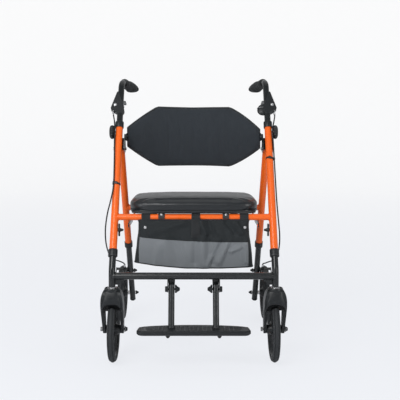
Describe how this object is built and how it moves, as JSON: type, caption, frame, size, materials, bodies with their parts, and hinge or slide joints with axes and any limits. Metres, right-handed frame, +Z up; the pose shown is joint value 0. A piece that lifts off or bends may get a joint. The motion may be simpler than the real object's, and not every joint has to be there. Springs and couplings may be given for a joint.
{
  "type": "rollator",
  "caption": "Wide four-wheel walking frame with folding A-frame, padded seat, curved backrest, bag, hand brakes, casters and a swing-up footrest.",
  "frame": {"origin": "on the floor, in the middle of the part's width and length", "axes": "+Z up, +X across towards the right seen from the front, -Y towards the casters and the footrest"},
  "size_m": [0.6676, 0.814, 1.0195],
  "materials": {
    "bag_cloth": "woven",
    "black_paint": "satin",
    "black_plastic": "matte",
    "board": "painted",
    "orange": "glossy",
    "pad_cloth": "woven",
    "steel": "brushed",
    "tyre": "matte",
    "vinyl": "satin"
  },
  "bodies": {
    "front_frame": {"front_frame_tubes": "orange", "lower_frame": "black_paint", "post_collar_left": "black_plastic", "post_collar_right": "black_plastic", "hinge_bracket_left": "black_paint", "hinge_bracket_right": "black_paint", "hinge_bolt_left": "steel", "hinge_bolt_right": "steel", "bag": "bag_cloth", "brake_cable_left": "black_plastic", "brake_cable_right": "black_plastic"},
    "rear_frame": {"rear_frame_tubes": "orange", "rear_lower_leg_left": "black_paint", "rear_lower_leg_right": "black_paint", "rear_axle_left": "steel", "rear_axle_right": "steel", "brake_bracket_left": "steel", "brake_bracket_right": "steel"},
    "front_braces": {"front_brace_left": "black_paint", "front_brace_right": "black_paint"},
    "rear_braces": {"rear_brace_left": "black_paint", "rear_brace_right": "black_paint"},
    "seat": {"seat_cushion": "vinyl", "seat_board": "board"},
    "backrest": {"backrest_pad": "pad_cloth", "backrest_arm_left": "black_plastic", "backrest_arm_right": "black_plastic"},
    "footrest": {"footplate": "black_plastic", "footrest_tube_left": "black_paint", "footrest_tube_right": "black_paint"},
    "handle_left": {"handle_post_left": "black_paint", "grip_left": "black_plastic", "brake_housing_left": "black_plastic"},
    "lever_left": {"brake_lever_left": "black_plastic"},
    "shoe_left": {"brake_shoe_left": "black_plastic"},
    "height_knob_body_left": {"height_knob_left": "black_plastic"},
    "wing_screw_body_left": {"wing_screw_left": "black_plastic"},
    "caster_left": {"caster_fork_left": "black_plastic", "caster_axle_left": "steel"},
    "front_wheel_left": {"front_tyre_left": "tyre", "front_rim_left": "black_plastic"},
    "rear_wheel_left": {"rear_tyre_left": "tyre", "rear_rim_left": "black_plastic"},
    "footrest_knob_body_left": {"footrest_knob_left": "black_plastic"},
    "handle_right": {"handle_post_right": "black_paint", "grip_right": "black_plastic", "brake_housing_right": "black_plastic"},
    "lever_right": {"brake_lever_right": "black_plastic"},
    "shoe_right": {"brake_shoe_right": "black_plastic"},
    "height_knob_body_right": {"height_knob_right": "black_plastic"},
    "wing_screw_body_right": {"wing_screw_right": "black_plastic"},
    "caster_right": {"caster_fork_right": "black_plastic", "caster_axle_right": "steel"},
    "front_wheel_right": {"front_tyre_right": "tyre", "front_rim_right": "black_plastic"},
    "rear_wheel_right": {"rear_tyre_right": "tyre", "rear_rim_right": "black_plastic"},
    "footrest_knob_body_right": {"footrest_knob_right": "black_plastic"}
  },
  "joints": [
    {"name": "fold", "type": "hinge", "parent": "front_frame", "child": "rear_frame", "pos_m": [0, -0.04951, 0.74398], "axis": [-1, 0, 0], "range_deg": [0, 27], "deforming": ["brake_cable_left", "brake_cable_right"]},
    {"name": "front_brace_turn", "type": "hinge", "parent": "front_frame", "child": "front_braces", "pos_m": [0, -0.21138, 0.475], "axis": [-1, 0, 0], "range_deg": [0, 68.41]},
    {"name": "rear_brace_turn", "type": "hinge", "parent": "rear_frame", "child": "rear_braces", "pos_m": [0, 0.07442, 0.475], "axis": [1, 0, 0], "range_deg": [0, 75.06]},
    {"name": "seat_lift", "type": "hinge", "parent": "front_frame", "child": "seat", "pos_m": [0, -0.21738, 0.505], "axis": [1, 0, 0], "range_deg": [0, 80]},
    {"name": "backrest_swing", "type": "hinge", "parent": "front_frame", "child": "backrest", "pos_m": [0, -0.05973, 0.78815], "axis": [-1, 0, 0], "range_deg": [-180, 0]},
    {"name": "footrest_swing", "type": "hinge", "parent": "front_frame", "child": "footrest", "pos_m": [0, -0.324, 0.269], "axis": [-1, 0, 0], "range_deg": [0, 95]},
    {"name": "handle_height_left", "type": "slide", "parent": "front_frame", "child": "handle_left", "axis": [0, 0.4756, 0.8796], "range_m": [-0.03, 0.08], "deforming": ["brake_cable_left"]},
    {"name": "brake_lever_turn_left", "type": "hinge", "parent": "handle_left", "child": "lever_left", "pos_m": [-0.283, 0.02903, 0.905], "axis": [1, 0, 0], "range_deg": [0, 12], "stiffness_Nm_per_rad": 0.5},
    {"name": "brake_shoe_turn_left", "type": "hinge", "parent": "rear_frame", "child": "shoe_left", "pos_m": [-0.3055, 0.20926, 0.2136], "axis": [-1, 0, 0], "range_deg": [0, 3.2]},
    {"name": "height_knob_turn_left", "type": "hinge", "parent": "front_frame", "child": "height_knob_body_left", "pos_m": [-0.283, -0.05374, 0.80765], "axis": [1, 0, 0], "continuous": true},
    {"name": "wing_screw_turn_left", "type": "hinge", "parent": "front_frame", "child": "wing_screw_body_left", "pos_m": [-0.283, -0.24063, 0.462], "axis": [1, 0, 0], "continuous": true},
    {"name": "caster_swivel_left", "type": "hinge", "parent": "front_frame", "child": "caster_left", "pos_m": [-0.283, -0.312, 0.268], "axis": [0, 0, 1], "range_deg": [-80, 185]},
    {"name": "front_wheel_spin_left", "type": "hinge", "parent": "caster_left", "child": "front_wheel_left", "pos_m": [-0.283, -0.267, 0.114], "axis": [1, 0, 0], "continuous": true},
    {"name": "rear_wheel_spin_left", "type": "hinge", "parent": "rear_frame", "child": "rear_wheel_left", "pos_m": [-0.3055, 0.293, 0.114], "axis": [1, 0, 0], "continuous": true},
    {"name": "footrest_knob_turn_left", "type": "hinge", "parent": "footrest", "child": "footrest_knob_body_left", "pos_m": [-0.0765, -0.324, 0.269], "axis": [1, 0, 0], "continuous": true},
    {"name": "handle_height_right", "type": "slide", "parent": "front_frame", "child": "handle_right", "axis": [0, 0.4756, 0.8796], "range_m": [-0.03, 0.08], "deforming": ["brake_cable_right"]},
    {"name": "brake_lever_turn_right", "type": "hinge", "parent": "handle_right", "child": "lever_right", "pos_m": [0.283, 0.02903, 0.905], "axis": [1, 0, 0], "range_deg": [0, 12], "stiffness_Nm_per_rad": 0.5},
    {"name": "brake_shoe_turn_right", "type": "hinge", "parent": "rear_frame", "child": "shoe_right", "pos_m": [0.3055, 0.20926, 0.2136], "axis": [-1, 0, 0], "range_deg": [0, 3.2]},
    {"name": "height_knob_turn_right", "type": "hinge", "parent": "front_frame", "child": "height_knob_body_right", "pos_m": [0.283, -0.05374, 0.80765], "axis": [1, 0, 0], "continuous": true},
    {"name": "wing_screw_turn_right", "type": "hinge", "parent": "front_frame", "child": "wing_screw_body_right", "pos_m": [0.283, -0.24063, 0.462], "axis": [1, 0, 0], "continuous": true},
    {"name": "caster_swivel_right", "type": "hinge", "parent": "front_frame", "child": "caster_right", "pos_m": [0.283, -0.312, 0.268], "axis": [0, 0, 1], "range_deg": [-185, 80]},
    {"name": "front_wheel_spin_right", "type": "hinge", "parent": "caster_right", "child": "front_wheel_right", "pos_m": [0.283, -0.267, 0.114], "axis": [1, 0, 0], "continuous": true},
    {"name": "rear_wheel_spin_right", "type": "hinge", "parent": "rear_frame", "child": "rear_wheel_right", "pos_m": [0.3055, 0.293, 0.114], "axis": [1, 0, 0], "continuous": true},
    {"name": "footrest_knob_turn_right", "type": "hinge", "parent": "footrest", "child": "footrest_knob_body_right", "pos_m": [0.0765, -0.324, 0.269], "axis": [1, 0, 0], "continuous": true}
  ],
  "couplings": [
    {"joint": "front_brace_turn", "follows": "fold", "ratio": 2.515},
    {"joint": "rear_brace_turn", "follows": "fold", "ratio": 2.7615},
    {"joint": "brake_shoe_turn_left", "follows": "brake_lever_turn_left", "ratio": 0.2666},
    {"joint": "brake_shoe_turn_right", "follows": "brake_lever_turn_right", "ratio": 0.2666}
  ]
}
